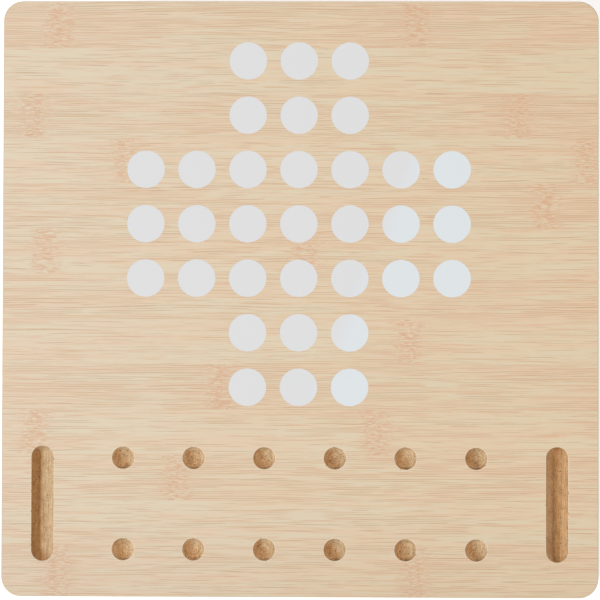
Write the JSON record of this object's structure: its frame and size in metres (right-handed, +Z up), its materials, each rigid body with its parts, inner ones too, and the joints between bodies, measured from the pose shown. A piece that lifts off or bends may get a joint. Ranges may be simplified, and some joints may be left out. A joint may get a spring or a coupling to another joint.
{
  "type": "game compendium box",
  "caption": "Square wooden games box with a solitaire cross and a mancala board on its fixed top, side drawers of playing pieces and a front tray of flat game boards.",
  "frame": {"origin": "on the table under the middle of the box, level with the soles of the feet", "axes": "+Z up through the top board, -Y towards the front with the mancala board and the board tray, +X to the right"},
  "size_m": [0.3, 0.3, 0.062],
  "materials": {
    "bamboo_foil": "satin printed bamboo-look foil",
    "edge_band": "satin bamboo-look edge band",
    "fibreboard": "bare routed fibreboard",
    "spot_print": "satin white print",
    "plywood": "sanded, clear-sealed plywood",
    "beech": "sanded, unsealed beech",
    "rubber": "matt black rubber",
    "screw_steel": "bright zinc-plated steel",
    "light_wood": "waxed light wood",
    "dark_wood": "waxed dark stained wood",
    "domino_black": "satin black lacquer, white pips",
    "die_ivory": "polished ivory-coloured resin, black pips",
    "stick_wood": "thin wood sticks with dyed ends",
    "bead_gloss": "glossy beads in mixed colours",
    "pawn_red": "gloss red lacquer",
    "pawn_yellow": "gloss yellow lacquer",
    "pawn_green": "gloss green lacquer",
    "pawn_blue": "gloss blue lacquer",
    "board_print": "satin printed game boards"
  },
  "bodies": {
    "box": {"rubber_feet": "rubber", "base_core": "fibreboard", "base_lower_laminate": "bamboo_foil", "base_upper_laminate": "bamboo_foil", "base_edge_band": "edge_band", "base_screws": "screw_steel", "front_wall": "bamboo_foil", "back_wall": "bamboo_foil", "left_header_rail": "bamboo_foil", "right_header_rail": "bamboo_foil", "centre_divider": "plywood", "shelf": "plywood", "dowels": "beech", "top_core": "fibreboard", "top_inner_laminate": "bamboo_foil", "top_face_laminate": "bamboo_foil", "top_edge_band": "edge_band", "solitaire_spots": "spot_print"},
    "left_drawer": {"left_drawer_front": "bamboo_foil", "left_drawer_back": "plywood", "left_drawer_side_a": "plywood", "left_drawer_side_b": "plywood", "left_drawer_bottom": "plywood", "left_long_partition": "plywood", "left_cross_partitions": "plywood", "chess_pawns_light": "light_wood", "chess_officers_light": "light_wood", "counters_light": "light_wood", "mancala_beads": "bead_gloss", "dice": "die_ivory", "pick_up_sticks": "stick_wood"},
    "right_drawer": {"right_drawer_front": "bamboo_foil", "right_drawer_back": "plywood", "right_drawer_side_a": "plywood", "right_drawer_side_b": "plywood", "right_drawer_bottom": "plywood", "right_long_partition": "plywood", "right_cross_partitions": "plywood", "chess_pawns_dark": "dark_wood", "chess_officers_dark": "dark_wood", "counters_dark": "dark_wood", "dominoes": "domino_black", "pawns_red": "pawn_red", "pawns_yellow": "pawn_yellow", "pawns_green": "pawn_green", "pawns_blue": "pawn_blue"},
    "board_tray": {"tray_front": "bamboo_foil", "tray_base": "plywood", "tray_left_rim": "plywood", "tray_right_rim": "plywood", "tray_back_rim": "plywood", "tray_stop_cleats": "beech", "game_board_1": "board_print", "game_board_2": "board_print", "game_board_3": "board_print"}
  },
  "joints": [
    {"name": "left_drawer_slide", "type": "slide", "parent": "box", "child": "left_drawer", "axis": [-1, 0, 0], "range_m": [0, 0.1295]},
    {"name": "right_drawer_slide", "type": "slide", "parent": "box", "child": "right_drawer", "axis": [1, 0, 0], "range_m": [0, 0.1295]},
    {"name": "board_tray_slide", "type": "slide", "parent": "box", "child": "board_tray", "axis": [0, -1, 0], "range_m": [0, 0.234]}
  ]
}
